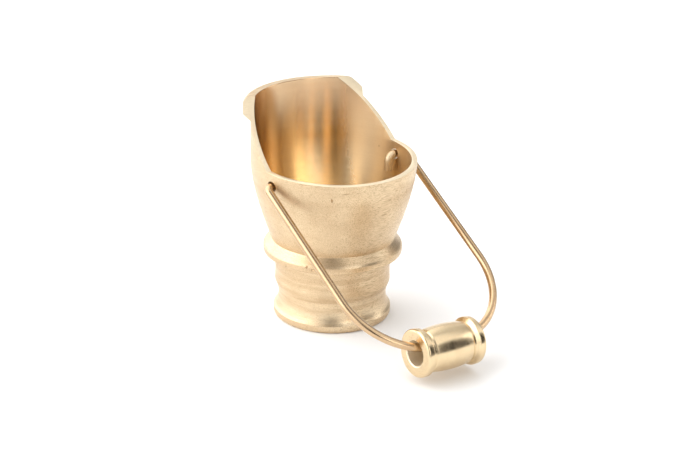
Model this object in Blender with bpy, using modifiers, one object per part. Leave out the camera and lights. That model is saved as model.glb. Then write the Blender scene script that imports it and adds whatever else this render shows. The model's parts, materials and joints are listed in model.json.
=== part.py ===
# A miniature turned brass coal scuttle: a body with a raised hood, a wire bail
# that swings in two holes under the rim, and a turned spool grip loose on the wire.
#
# Frame: +Z up, +Y towards the hood, +X along the bail's pivot.
# The origin is the centre of the foot's underside, on the body's turning axis.

import math

import bmesh
import bpy
from mathutils import Matrix, Vector

MM = 0.001

# ---- driving dimensions, in millimetres -------------------------------------

# foot and neck
FOOT_RADIUS = 12.0
FOOT_FACE_RADIUS = 11.3        # flat ring that stands on the table
FOOT_EDGE_HEIGHT = 1.6
FOOT_SHOULDER = 0.45           # chamfer above the foot's edge
NECK_RADIUS = 11.0
NECK_HEIGHT = 4.7

# waist band
WAIST_RADIUS = 11.8
WAIST_BOTTOM = 6.6
WAIST_TAPER = 0.4              # the band is this much smaller at its lower edge
WAIST_DRAW_IN = 1.0            # height over which it draws in to that edge
WAIST_FILLET = 0.4

# collar
COLLAR_RADIUS = 14.1
COLLAR_BOTTOM = 13.7
COLLAR_TOP = 16.75
COLLAR_EDGE = 0.9              # height of the collar's upright edge
COLLAR_ROUND = 0.45

# bowl and hood
BOWL_FOOT_RADIUS = 12.5        # where the bowl grows out of the collar
HOOD_RADIUS = 16.6
HOOD_START = 33.5              # the bowl's flare has become upright here
BOWL_FLARE = 0.385             # radius gained per height at the collar
TOTAL_HEIGHT = 45.0
LIP_OVERHANG = 1.45            # how far the lip stands out from the hood
LIP_HEIGHT = 3.6
LIP_ROUND = 1.15
LIP_UNDERCUT = 1.3             # height of the lip's slanted underside

# bore
BORE_TAPER = 0.03              # radius gained per height above the bore's bend
WALL = 1.15
FLOOR_ABOVE_COLLAR = 0.75
FLOOR_ROUND = 1.2

# mouth
RIM_HEIGHT = 33.6              # where the rim meets the slanted cut
RIM_DROP_DEG = 2.0             # the rim falls a little towards the front
SLANT_DEG = 45.0
HOOD_BEHIND_CUT = 4.8          # depth of hood that the slanted cut leaves at the top

# bail
WIRE_RADIUS = 0.8
PIVOT_BELOW_RIM = 2.6
PIVOT_Y = -1.0
PIVOT_CLEARANCE = 0.35         # radial, wire in its hole
BAIL_LEG_GAP = 0.5             # between the hood's wall and a leg
BAIL_SIDE_SHIFT = 0.25         # the bail sits a little to +X in its holes
BAIL_REACH = 42.6
BAIL_FLAT = 5.8                # straight part between the two corners
EYE_BEND_RADIUS = 1.25
HOOK_BEND_RADIUS = 1.4
HOOK_DROP = 3.2
HOOK_WALL_GAP = 1.3            # lets the hook turn clear of the curved, narrowing wall

# grip
GRIP_LENGTH = 13.65
GRIP_BEAD_RADIUS = 4.66
GRIP_BEAD_WIDTH = 1.6
GRIP_GROOVE_RADIUS = 3.9
GRIP_GROOVE_WIDTH = 1.0
GRIP_BARREL_END_RADIUS = 4.08
GRIP_BARREL_MID_RADIUS = 4.42
GRIP_EDGE_ROUND = 0.5
GRIP_BORE_RADIUS = 2.5
GRIP_BORE_CHAMFER = 0.2
GRIP_TABLE_GAP = 0.7           # the stiff bail holds the grip just off the table
GRIP_WIRE_GAP = 0.32
GRIP_OFFSET_X = -2.3           # it has slid towards -X on the wire
GRIP_YAW_DEG = -6.0            # a loose fit lets it lie askew
GRIP_PITCH_DEG = -2.4

# sizes that follow from the ones above
LIP_RADIUS = HOOD_RADIUS + LIP_OVERHANG
SLANT_TOP_Y = HOOD_RADIUS - HOOD_BEHIND_CUT
SLANT_START_Y = SLANT_TOP_Y - (TOTAL_HEIGHT - RIM_HEIGHT) / math.tan(math.radians(SLANT_DEG))
BORE_RADIUS = HOOD_RADIUS - WALL
FLOOR_HEIGHT = COLLAR_TOP + FLOOR_ABOVE_COLLAR
PIVOT_HEIGHT = RIM_HEIGHT - PIVOT_BELOW_RIM
BAIL_HALF_WIDTH = HOOD_RADIUS + BAIL_LEG_GAP + WIRE_RADIUS
BAIL_CORNER_RADIUS = BAIL_HALF_WIDTH - BAIL_FLAT / 2

# mesh fineness
BODY_STEPS = 72
GRIP_STEPS = 48
WIRE_STEP_DEG = 9.0
CUTTER_MARGIN = 6.0

BRASS = (0.78, 0.60, 0.33, 1.0)


# ---- outline helpers --------------------------------------------------------

def arc(centre_r, centre_z, radius, start_deg, end_deg, segments):
    """Points of an arc in a turned profile, both ends included."""
    points = []
    for i in range(segments + 1):
        angle = math.radians(start_deg + (end_deg - start_deg) * i / segments)
        points.append((centre_r + radius * math.cos(angle), centre_z + radius * math.sin(angle)))
    return points


def bezier(start, control, end, segments):
    """Points of a quadratic curve, both ends included."""
    points = []
    for i in range(segments + 1):
        t = i / segments
        a, b, c = (1 - t) ** 2, 2 * t * (1 - t), t * t
        points.append(tuple(a * p + b * q + c * s for p, q, s in zip(start, control, end)))
    return points


def arc_through(start, mid, end, segments):
    """Points of the circular arc through three profile points."""
    (ax, ay), (bx, by), (cx, cy) = start, mid, end
    d = 2 * (ax * (by - cy) + bx * (cy - ay) + cx * (ay - by))
    sa, sb, sc = ax * ax + ay * ay, bx * bx + by * by, cx * cx + cy * cy
    ux = (sa * (by - cy) + sb * (cy - ay) + sc * (ay - by)) / d
    uy = (sa * (cx - bx) + sb * (ax - cx) + sc * (bx - ax)) / d
    radius = math.hypot(ax - ux, ay - uy)
    first = math.atan2(ay - uy, ax - ux)
    turn = math.atan2(cy - uy, cx - ux) - first
    turn = (turn + math.pi) % (2 * math.pi) - math.pi
    points = []
    for i in range(segments + 1):
        angle = first + turn * i / segments
        points.append((ux + radius * math.cos(angle), uy + radius * math.sin(angle)))
    return points


# ---- body profile -----------------------------------------------------------

def bowl_curve(segments):
    """Outside of the bowl, from the collar up to where the hood stands upright."""
    control_z = COLLAR_TOP + (HOOD_RADIUS - BOWL_FOOT_RADIUS) / BOWL_FLARE
    return bezier((BOWL_FOOT_RADIUS, COLLAR_TOP), (HOOD_RADIUS, min(control_z, HOOD_START)),
                  (HOOD_RADIUS, HOOD_START), segments)


def bore_radius(height):
    """Radius of the upper bore at a height."""
    return BORE_RADIUS + BORE_TAPER * max(0.0, height - PIVOT_HEIGHT)


def bore_outline():
    """From the centre of the floor, out and up the inside to the top face."""
    follow = [(r - WALL, z) for r, z in bowl_curve(12)]
    follow = [(r, z) for r, z in follow if r < BORE_RADIUS and z > FLOOR_HEIGHT + FLOOR_ROUND]
    foot_r = follow[0][0]
    points = [(0.0, FLOOR_HEIGHT)]
    points += arc(foot_r - FLOOR_ROUND, FLOOR_HEIGHT + FLOOR_ROUND, FLOOR_ROUND, -90, 0, 3)[:-1]
    points += follow
    points.append((BORE_RADIUS, max(PIVOT_HEIGHT, follow[-1][1] + 0.5)))
    points.append((bore_radius(TOTAL_HEIGHT), TOTAL_HEIGHT))
    return points


def lip_outline():
    """The lip's outside, from the top face down to the hood's wall."""
    points = arc(LIP_RADIUS - LIP_ROUND, TOTAL_HEIGHT - LIP_ROUND, LIP_ROUND, 90, 0, 5)
    points.append((LIP_RADIUS, TOTAL_HEIGHT - LIP_HEIGHT + LIP_UNDERCUT))
    points.append((HOOD_RADIUS, TOTAL_HEIGHT - LIP_HEIGHT))
    return points


def collar_outline():
    """The collar, from the foot of the bowl down to the waist."""
    edge_bottom = COLLAR_BOTTOM + COLLAR_ROUND
    edge_top = edge_bottom + COLLAR_EDGE
    shoulder_z = min(edge_top + COLLAR_ROUND, COLLAR_TOP - 0.1)
    points = [(COLLAR_RADIUS - COLLAR_ROUND * 0.6, shoulder_z), (COLLAR_RADIUS, edge_top)]
    points += arc(COLLAR_RADIUS - COLLAR_ROUND, edge_bottom, COLLAR_ROUND, 0, -90, 3)
    points.append((WAIST_RADIUS + WAIST_FILLET, COLLAR_BOTTOM))
    points.append((WAIST_RADIUS, COLLAR_BOTTOM - WAIST_FILLET))
    points.append((WAIST_RADIUS, WAIST_BOTTOM + WAIST_DRAW_IN))
    return points


def foot_outline():
    """Waist's lower edge, hollow neck and rounded foot, down to the axis."""
    shoulder_top = FOOT_EDGE_HEIGHT + FOOT_SHOULDER
    waist_edge = (WAIST_RADIUS - WAIST_TAPER, WAIST_BOTTOM)
    points = [waist_edge]
    points += arc_through(waist_edge, (NECK_RADIUS, NECK_HEIGHT),
                          (FOOT_RADIUS - FOOT_SHOULDER, shoulder_top), 8)[1:]
    points.append((FOOT_RADIUS, FOOT_EDGE_HEIGHT))
    corner = FOOT_RADIUS - FOOT_FACE_RADIUS
    points += arc(FOOT_FACE_RADIUS, corner, corner, 0, -90, 4)
    points.append((0.0, 0.0))
    return points


def body_profile():
    bowl = bowl_curve(12)
    bowl.reverse()
    return bore_outline() + lip_outline() + bowl + collar_outline() + foot_outline()


# ---- grip profile -----------------------------------------------------------

def grip_profile():
    """Closed outline of the spool, turned about Z and centred on its middle."""
    half = GRIP_LENGTH / 2
    groove_top = half - GRIP_BEAD_WIDTH
    barrel_top = groove_top - GRIP_GROOVE_WIDTH
    upper = [(GRIP_BORE_RADIUS + GRIP_BORE_CHAMFER, half)]
    upper += arc(GRIP_BEAD_RADIUS - GRIP_EDGE_ROUND, half - GRIP_EDGE_ROUND, GRIP_EDGE_ROUND, 90, 0, 4)
    upper.append((GRIP_BEAD_RADIUS, groove_top + GRIP_EDGE_ROUND * 0.5))
    upper.append((GRIP_GROOVE_RADIUS, groove_top - GRIP_GROOVE_WIDTH * 0.35))
    upper.append((GRIP_GROOVE_RADIUS, barrel_top + GRIP_GROOVE_WIDTH * 0.25))
    barrel = arc_through((GRIP_BARREL_END_RADIUS, barrel_top), (GRIP_BARREL_MID_RADIUS, 0.0),
                         (GRIP_BARREL_END_RADIUS, -barrel_top), 8)
    lower = [(r, -z) for r, z in reversed(upper)]
    bore = [(GRIP_BORE_RADIUS, -half + GRIP_BORE_CHAMFER), (GRIP_BORE_RADIUS, half - GRIP_BORE_CHAMFER)]
    outline = upper + barrel + lower + bore
    return outline + [outline[0]]


# ---- bail centreline --------------------------------------------------------

def bail_drop():
    """Angle of the lowered bail below the horizontal, set by the grip's height off the table."""
    wire_height = (GRIP_TABLE_GAP + GRIP_BEAD_RADIUS + GRIP_BORE_RADIUS
                   - WIRE_RADIUS - GRIP_WIRE_GAP)
    return math.asin((PIVOT_HEIGHT - wire_height) / BAIL_REACH)


def bail_point(side, reach):
    """World place, in millimetres, of a point in the lowered bail's own plane."""
    drop = bail_drop()
    return Vector((side + BAIL_SIDE_SHIFT,
                   PIVOT_Y - reach * math.cos(drop),
                   PIVOT_HEIGHT - reach * math.sin(drop)))


def bend(centre, radius, start_deg, end_deg, step_deg):
    """Arc in a plane as (first, second) pairs, the start left out."""
    count = max(2, math.ceil(abs(end_deg - start_deg) / step_deg))
    points = []
    for i in range(1, count + 1):
        angle = math.radians(start_deg + (end_deg - start_deg) * i / count)
        points.append((centre[0] + radius * math.cos(angle), centre[1] + radius * math.sin(angle)))
    return points


def hook_points():
    """One hook, from its cut end up to the pivot line, as (x, height) pairs."""
    hook_x = BORE_RADIUS - HOOK_WALL_GAP - WIRE_RADIUS
    centre = (hook_x + HOOK_BEND_RADIUS, PIVOT_HEIGHT - HOOK_BEND_RADIUS)
    points = [(hook_x, PIVOT_HEIGHT - HOOK_DROP), (hook_x, centre[1])]
    return points + bend(centre, HOOK_BEND_RADIUS, 180, 90, 22.5)


def leg_points():
    """From the eye bend down one leg to the middle of the bail, as (side, reach) pairs."""
    centre = (BAIL_HALF_WIDTH - EYE_BEND_RADIUS, EYE_BEND_RADIUS)
    points = [(centre[0], 0.0)]
    points += bend(centre, EYE_BEND_RADIUS, -90, 0, 22.5)
    corner = (BAIL_HALF_WIDTH - BAIL_CORNER_RADIUS, BAIL_REACH - BAIL_CORNER_RADIUS)
    points.append((BAIL_HALF_WIDTH, corner[1]))
    points += bend(corner, BAIL_CORNER_RADIUS, 0, 90, WIRE_STEP_DEG)
    return points


def bail_path():
    """The whole wire's centreline, from the +X hook to the -X hook."""
    def half(sign):
        hook = [Vector((sign * x + BAIL_SIDE_SHIFT, PIVOT_Y, z)) for x, z in hook_points()]
        return hook + [bail_point(sign * side, reach) for side, reach in leg_points()]
    left = half(-1)
    left.reverse()
    return half(1) + left


# ---- grip placement ---------------------------------------------------------

def grip_matrix():
    """Place of the grip: askew about its middle, hanging from the wire inside its bore."""
    yaw = math.radians(GRIP_YAW_DEG)
    pitch = math.radians(GRIP_PITCH_DEG)
    turn = Matrix.Rotation(yaw, 4, 'Z') @ Matrix.Rotation(-pitch, 4, 'Y')
    along = (turn @ Vector((1, 0, 0))).normalized()
    side = along.cross(Vector((0, 0, 1))).normalized()
    up = side.cross(along).normalized()
    middle = bail_point(GRIP_OFFSET_X - BAIL_SIDE_SHIFT, BAIL_REACH)
    inside = []
    path = bail_path()
    for a, b in zip(path, path[1:]):
        for i in range(9):
            offset = a.lerp(b, i / 8) - middle
            if abs(offset.dot(along)) <= GRIP_LENGTH / 2:
                inside.append((offset.dot(side), offset.dot(up)))
    sides = [s for s, _ in inside]
    ups = [u for _, u in inside]
    play = GRIP_BORE_RADIUS - WIRE_RADIUS - GRIP_WIRE_GAP
    half_side = (max(sides) - min(sides)) / 2
    sag = math.sqrt(max(0.0, play * play - half_side * half_side))
    centre = middle + side * (max(sides) + min(sides)) / 2 + up * (max(ups) - sag)
    to_axis = Matrix.Rotation(math.pi / 2, 4, 'Y')
    return Matrix.Translation(centre * MM) @ turn @ to_axis


# ---- Blender objects --------------------------------------------------------

def new_collection(name):
    collection = bpy.data.collections.new(name)
    bpy.context.scene.collection.children.link(collection)
    return collection


def brass(name, roughness):
    material = bpy.data.materials.new(name)
    material.use_nodes = True
    shader = material.node_tree.nodes['Principled BSDF']
    shader.inputs['Base Color'].default_value = BRASS
    shader.inputs['Metallic'].default_value = 1.0
    shader.inputs['Roughness'].default_value = roughness
    return material


def finish_round(mesh_object, angle_deg=30):
    mesh_object.data.shade_smooth()
    mesh_object.data.set_sharp_from_angle(angle=math.radians(angle_deg))


def turned(name, outline, steps, collection, material):
    """A solid of revolution about Z, applied to a mesh, from an outline in millimetres."""
    mesh = bpy.data.meshes.new(name)
    vertices = [(r * MM, 0.0, z * MM) for r, z in outline]
    mesh.from_pydata(vertices, [(i, i + 1) for i in range(len(vertices) - 1)], [])
    obj = bpy.data.objects.new(name, mesh)
    collection.objects.link(obj)
    screw = obj.modifiers.new('Turn', 'SCREW')
    screw.steps = steps
    screw.render_steps = steps
    screw.use_merge_vertices = True
    screw.merge_threshold = 0.000001
    bpy.context.view_layer.update()
    evaluated = obj.evaluated_get(bpy.context.evaluated_depsgraph_get())
    solid = bpy.data.meshes.new_from_object(evaluated)
    obj.modifiers.clear()
    obj.data = solid
    bpy.data.meshes.remove(mesh)
    solid.name = name
    weld(solid)
    solid.materials.append(material)
    finish_round(obj)
    return obj


def weld(mesh):
    shape = bmesh.new()
    shape.from_mesh(mesh)
    bmesh.ops.remove_doubles(shape, verts=shape.verts, dist=0.000001)
    shape.to_mesh(mesh)
    shape.free()


def prism(name, outline, half_width, collection):
    """A cutter: an outline in Y and Z, in millimetres, run through along X."""
    curve = bpy.data.curves.new(name, 'CURVE')
    curve.dimensions = '2D'
    curve.fill_mode = 'BOTH'
    curve.extrude = half_width * MM
    spline = curve.splines.new('POLY')
    spline.points.add(len(outline) - 1)
    for point, (y, z) in zip(spline.points, outline):
        point.co = (y * MM, z * MM, 0.0, 1.0)
    spline.use_cyclic_u = True
    guide = bpy.data.objects.new(name, curve)
    collection.objects.link(guide)
    guide.matrix_world = Matrix(((0, 0, 1, 0), (1, 0, 0, 0), (0, 1, 0, 0), (0, 0, 0, 1)))
    bpy.context.view_layer.update()
    cutter = curve_to_mesh(guide, collection)
    hide_cutter(cutter)
    return cutter


def curve_to_mesh(guide, collection):
    """Replace a curve object by its welded mesh, in the same place."""
    evaluated = guide.evaluated_get(bpy.context.evaluated_depsgraph_get())
    mesh = bpy.data.meshes.new_from_object(evaluated)
    weld(mesh)
    solid = bpy.data.objects.new(guide.name + '_mesh', mesh)
    solid.matrix_world = guide.matrix_world
    collection.objects.link(solid)
    name = guide.name
    bpy.data.objects.remove(guide)
    solid.name = name
    return solid


def cross_drill(name, radius, half_width, collection):
    """A cutter: a round bar along X on the bail's pivot line."""
    bpy.ops.mesh.primitive_cylinder_add(vertices=24, radius=radius * MM, depth=2 * half_width * MM,
                                        location=(0, PIVOT_Y * MM, PIVOT_HEIGHT * MM),
                                        rotation=(0, math.pi / 2, 0))
    cutter = bpy.context.object
    cutter.name = name
    for owner in list(cutter.users_collection):
        owner.objects.unlink(cutter)
    collection.objects.link(cutter)
    hide_cutter(cutter)
    return cutter


def hide_cutter(cutter):
    cutter.hide_render = True
    cutter.display_type = 'WIRE'


def cut(target, cutter):
    boolean = target.modifiers.new(cutter.name, 'BOOLEAN')
    boolean.operation = 'DIFFERENCE'
    boolean.object = cutter


# ---- the three pieces -------------------------------------------------------

def mouth_outline():
    """Side view of what is milled away to open the mouth."""
    front = -(LIP_RADIUS + CUTTER_MARGIN)
    above = TOTAL_HEIGHT + CUTTER_MARGIN
    front_z = RIM_HEIGHT + (front - SLANT_START_Y) * math.tan(math.radians(RIM_DROP_DEG))
    slant_y = SLANT_START_Y + (above - RIM_HEIGHT) / math.tan(math.radians(SLANT_DEG))
    return [(front, front_z), (SLANT_START_Y, RIM_HEIGHT), (slant_y, above), (front, above)]


def make_body(parts, cutters):
    body = turned('scuttle_body', body_profile(), BODY_STEPS, parts, brass('brass_satin', 0.42))
    half_width = LIP_RADIUS + CUTTER_MARGIN
    cut(body, prism('mouth_cut', mouth_outline(), half_width, cutters))
    cut(body, cross_drill('pivot_drill', WIRE_RADIUS + PIVOT_CLEARANCE, half_width, cutters))
    return body


def make_bail(parts, pivot):
    path = bail_path()
    curve = bpy.data.curves.new('bail_wire', 'CURVE')
    curve.dimensions = '3D'
    curve.bevel_depth = WIRE_RADIUS * MM
    curve.bevel_resolution = 3
    curve.use_fill_caps = True
    curve.render_resolution_u = 0
    origin = Vector((0, PIVOT_Y, PIVOT_HEIGHT))
    spline = curve.splines.new('POLY')
    spline.points.add(len(path) - 1)
    for point, place in zip(spline.points, path):
        point.co = (*((place - origin) * MM), 1.0)
    guide = bpy.data.objects.new('bail_wire', curve)
    parts.objects.link(guide)
    bpy.context.view_layer.update()
    bail = curve_to_mesh(guide, parts)
    bail.data.materials.clear()
    bail.data.materials.append(brass('brass_wire', 0.25))
    finish_round(bail, 50)
    bail.parent = pivot
    return bail


def make_grip(parts, pivot):
    grip = turned('grip_spool', grip_profile(), GRIP_STEPS, parts, brass('brass_polished', 0.18))
    grip.parent = pivot
    grip.matrix_parent_inverse = Matrix.Translation(pivot.location).inverted()
    grip.matrix_world = grip_matrix()
    return grip


def main():
    for old in list(bpy.data.objects):
        bpy.data.objects.remove(old)
    parts = new_collection('coal_scuttle')
    cutters = new_collection('cutters')
    pivot = bpy.data.objects.new('bail_pivot', None)
    pivot.location = (0, PIVOT_Y * MM, PIVOT_HEIGHT * MM)
    parts.objects.link(pivot)
    bpy.context.view_layer.update()
    make_body(parts, cutters)
    make_bail(parts, pivot)
    make_grip(parts, pivot)


main()
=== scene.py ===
# Miniature brass coal scuttle: turned body, wire bail and spool grip, in fine detail.
import json
import math

import bmesh
import bpy
from mathutils import Matrix, Vector


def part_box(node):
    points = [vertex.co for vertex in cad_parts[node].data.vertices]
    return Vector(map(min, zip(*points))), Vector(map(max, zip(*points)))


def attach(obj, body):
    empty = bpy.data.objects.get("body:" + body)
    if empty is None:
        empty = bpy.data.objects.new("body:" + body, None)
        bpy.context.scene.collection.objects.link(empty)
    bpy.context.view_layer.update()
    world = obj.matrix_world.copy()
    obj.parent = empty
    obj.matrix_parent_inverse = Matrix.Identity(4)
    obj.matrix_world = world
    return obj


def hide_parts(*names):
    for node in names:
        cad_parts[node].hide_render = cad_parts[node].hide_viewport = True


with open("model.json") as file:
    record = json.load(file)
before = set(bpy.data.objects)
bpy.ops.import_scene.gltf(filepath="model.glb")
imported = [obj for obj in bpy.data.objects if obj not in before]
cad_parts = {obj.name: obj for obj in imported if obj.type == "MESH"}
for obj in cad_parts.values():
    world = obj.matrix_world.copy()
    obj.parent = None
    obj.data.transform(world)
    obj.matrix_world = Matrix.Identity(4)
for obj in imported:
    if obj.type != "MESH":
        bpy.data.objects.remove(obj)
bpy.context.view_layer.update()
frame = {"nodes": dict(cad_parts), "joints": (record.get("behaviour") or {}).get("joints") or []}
mm = 0.001
swing = next(j for j in frame["joints"] if j["name"] == "bail_swing")
spin = next(j for j in frame["joints"] if j["name"] == "grip_spin")
pivot = Vector(swing["pos_m"]) / mm          # everything below is worked out in millimetres
print("frame loaded:", sorted(frame["nodes"]))


# Small helpers for outlines.

def filletOutline(corners, arcStep=12.0):
    # corners are (r, z, fillet radius); each corner with a radius becomes an arc
    points = []
    for i, (r, z, radius) in enumerate(corners):
        here = Vector((r, z))
        if radius <= 0 or i == 0 or i == len(corners) - 1:
            points.append(here)
            continue
        back = (Vector(corners[i - 1][:2]) - here)
        ahead = (Vector(corners[i + 1][:2]) - here)
        reach = min(back.length, ahead.length) * 0.45
        back.normalize()
        ahead.normalize()
        half = back.angle(ahead) / 2
        setback = min(radius / math.tan(half), reach)
        radius = setback * math.tan(half)
        centre = here + (back + ahead).normalized() * (radius / math.sin(half))
        first = here + back * setback - centre
        last = here + ahead * setback - centre
        turn = first.angle_signed(last)
        count = max(2, math.ceil(math.degrees(abs(turn)) / arcStep))
        for k in range(count + 1):
            angle = -turn * k / count
            c, s = math.cos(angle), math.sin(angle)
            points.append(centre + Vector((first.x * c - first.y * s, first.x * s + first.y * c)))
    return points


def bezierPoints(start, control, end, count):
    points = []
    for i in range(count + 1):
        t = i / count
        points.append(tuple((1 - t) ** 2 * a + 2 * t * (1 - t) * b + t * t * c
                            for a, b, c in zip(start, control, end)))
    return points


def circleThrough(start, mid, end, count):
    (ax, ay), (bx, by), (cx, cy) = start, mid, end
    d = 2 * (ax * (by - cy) + bx * (cy - ay) + cx * (ay - by))
    sa, sb, sc = ax * ax + ay * ay, bx * bx + by * by, cx * cx + cy * cy
    ux = (sa * (by - cy) + sb * (cy - ay) + sc * (ay - by)) / d
    uy = (sa * (cx - bx) + sb * (ax - cx) + sc * (bx - ax)) / d
    radius = math.hypot(ax - ux, ay - uy)
    first = math.atan2(ay - uy, ax - ux)
    turn = (math.atan2(cy - uy, cx - ux) - first + math.pi) % (2 * math.pi) - math.pi
    return [(ux + radius * math.cos(first + turn * i / count),
             uy + radius * math.sin(first + turn * i / count)) for i in range(count + 1)]


# Small helpers for node trees.

def addNode(tree, kind, x=0, y=0, **settings):
    node = tree.nodes.new(kind)
    node.location = (x, y)
    for key, value in settings.items():
        setattr(node, key, value)
    return node


def feed(tree, sockets, values):
    # links each output that comes in, and sets each plain number or colour
    for socket, value in zip(sockets, values):
        if isinstance(value, bpy.types.NodeSocket):
            tree.links.new(value, socket)
        elif value is not None:
            socket.default_value = value


def mathNode(tree, operation, a, b=None, clamp=False):
    node = addNode(tree, "ShaderNodeMath", operation=operation, use_clamp=clamp)
    feed(tree, node.inputs, (a, b))
    return node.outputs[0]


def rangeNode(tree, value, fromMin, fromMax, toMin, toMax, kind="SMOOTHSTEP"):
    node = addNode(tree, "ShaderNodeMapRange", interpolation_type=kind)
    keys = ("Value", "From Min", "From Max", "To Min", "To Max")
    feed(tree, [node.inputs[key] for key in keys], (value, fromMin, fromMax, toMin, toMax))
    return node.outputs["Result"]


def mixColour(tree, factor, a, b):
    node = addNode(tree, "ShaderNodeMix", data_type="RGBA", blend_type="MIX")
    feed(tree, (node.inputs[0], node.inputs[6], node.inputs[7]), (factor, a, b))
    return node.outputs[2]


def combineNode(tree, x, y, z):
    node = addNode(tree, "ShaderNodeCombineXYZ")
    feed(tree, node.inputs, (x, y, z))
    return node.outputs[0]


def dividedBy(tree, vector, size, x, y):
    # the vector over one size, for textures whose size is in metres
    node = addNode(tree, "ShaderNodeVectorMath", x, y, operation="DIVIDE")
    tree.links.new(vector, node.inputs[0])
    tree.links.new(combineNode(tree, size, size, size), node.inputs[1])
    return node.outputs[0]


def noiseNode(tree, vector, scale=1.0, detail=2.0, rough=0.5):
    node = addNode(tree, "ShaderNodeTexNoise")
    tree.links.new(vector, node.inputs["Vector"])
    for key, value in (("Scale", scale), ("Detail", detail), ("Roughness", rough)):
        node.inputs[key].default_value = value
    return node.outputs["Fac"]


def newGroup(name, inputs, outputs, treeKind="ShaderNodeTree"):
    group = bpy.data.node_groups.new(name, treeKind)
    for label, kind, default in inputs:
        socket = group.interface.new_socket(name=label, in_out="INPUT",
                                            socket_type="NodeSocket" + kind)
        if default is not None:
            socket.default_value = default
    for label, kind in outputs:
        group.interface.new_socket(name=label, in_out="OUTPUT", socket_type="NodeSocket" + kind)
    inside = addNode(group, "NodeGroupInput", -1200, 0)
    return group, inside, addNode(group, "NodeGroupOutput", 1200, 0)


# Shader groups shared by all the brass finishes.

def makeTurningLines():
    # rings left by the tool, round the Z of the vector that comes in
    faceRings = 1.7      # how much a step outwards counts, so that flat faces get rings too
    bandShare = 0.17     # the broad bands against the fine rings
    group, inside, outside = newGroup("turningLines", [
        ("Vector", "Vector", None),
        ("Spacing", "Float", 0.0003),
        ("Wander", "Float", 0.6)],
        [("Height", "Float"), ("Bands", "Float")])
    axes = addNode(group, "ShaderNodeSeparateXYZ", -700, 0)
    group.links.new(inside.outputs["Vector"], axes.inputs[0])
    x, y, z = axes.outputs
    radius = mathNode(group, "SQRT", mathNode(group, "ADD", mathNode(group, "MULTIPLY", x, x),
                                              mathNode(group, "MULTIPLY", y, y)))
    angle = mathNode(group, "ARCTAN2", y, x)
    wander = inside.outputs["Wander"]
    around = mathNode(group, "MULTIPLY", mathNode(group, "SINE", angle), wander)
    across = mathNode(group, "MULTIPLY", mathNode(group, "COSINE", angle), wander)
    along = mathNode(group, "ADD", z, mathNode(group, "MULTIPLY", radius, faceRings))
    ring = mathNode(group, "DIVIDE", along, inside.outputs["Spacing"])
    slow = mathNode(group, "MULTIPLY", ring, bandShare)
    fine = noiseNode(group, combineNode(group, ring, around, across), 1.0, 3.0, 0.7)
    wide = noiseNode(group, combineNode(group, slow, around, across), 1.0, 2.0, 0.5)
    group.links.new(fine, outside.inputs["Height"])
    group.links.new(wide, outside.inputs["Bands"])
    return group


def makeScratches():
    # short straight marks from handling, in three directions, and small pits
    group, inside, outside = newGroup("handlingMarks", [
        ("Vector", "Vector", None),
        ("Size", "Float", 0.0015),
        ("Amount", "Float", 0.5)],
        [("Mask", "Float"), ("Pits", "Float")])
    total = None
    runs = [((0.3, 0.2, 0.5), 30.0), ((1.2, 0.6, 1.9), 40.0), ((0.8, 1.7, 2.7), 24.0)]
    for k, (turn, stretch) in enumerate(runs):
        mapping = addNode(group, "ShaderNodeMapping", -600, -300 * k)
        mapping.inputs["Rotation"].default_value = turn
        mapping.inputs["Location"].default_value = (0.013 * k, 0.007 * k, 0.011)
        mapping.inputs["Scale"].default_value = (1.0, stretch, stretch)
        group.links.new(inside.outputs["Vector"], mapping.inputs["Vector"])
        scaled = dividedBy(group, mapping.outputs[0], inside.outputs["Size"], -400, -300 * k)
        mark = rangeNode(group, noiseNode(group, scaled, 1.0, 0.0, 0.4), 0.65, 0.73, 0.0, 1.0)
        total = mark if total is None else mathNode(group, "MAXIMUM", total, mark)
    group.links.new(mathNode(group, "MULTIPLY", total, inside.outputs["Amount"], clamp=True),
                    outside.inputs["Mask"])
    spots = addNode(group, "ShaderNodeTexVoronoi", 0, 300)
    scaled = dividedBy(group, inside.outputs["Vector"], inside.outputs["Size"], -400, 300)
    group.links.new(scaled, spots.inputs["Vector"])
    spots.inputs["Scale"].default_value = 1.0
    near = rangeNode(group, spots.outputs["Distance"], 0.05, 0.13, 1.0, 0.0)
    chosen = rangeNode(group, noiseNode(group, scaled, 0.23, 1.0, 0.5), 0.55, 0.62, 0.0, 1.0)
    group.links.new(mathNode(group, "MULTIPLY", near, chosen), outside.inputs["Pits"])
    return group


def makeTone():
    # slow change of the metal's colour, from handling and a thin oxide
    group, inside, outside = newGroup("brassTone", [
        ("Vector", "Vector", None),
        ("Clean", "Color", (0.8, 0.62, 0.38, 1)),
        ("Aged", "Color", (0.66, 0.47, 0.27, 1)),
        ("Patch Size", "Float", 0.009),
        ("Age", "Float", 0.4)],
        [("Color", "Color"), ("Mask", "Float")])
    scaled = dividedBy(group, inside.outputs["Vector"], inside.outputs["Patch Size"], -400, 0)
    patches = rangeNode(group, noiseNode(group, scaled, 1.0, 4.0, 0.6), 0.35, 0.7, 0.0, 1.0)
    grain = rangeNode(group, noiseNode(group, scaled, 22.0, 2.0, 0.7), 0.3, 0.75, 0.0, 1.0)
    both = mathNode(group, "ADD", mathNode(group, "MULTIPLY", patches, 0.7),
                    mathNode(group, "MULTIPLY", grain, 0.3))
    amount = mathNode(group, "MULTIPLY", both, inside.outputs["Age"], clamp=True)
    group.links.new(mixColour(group, amount, inside.outputs["Clean"], inside.outputs["Aged"]),
                    outside.inputs["Color"])
    group.links.new(amount, outside.inputs["Mask"])
    return group


turningLines = makeTurningLines()
handlingMarks = makeScratches()
brassTone = makeTone()


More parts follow.
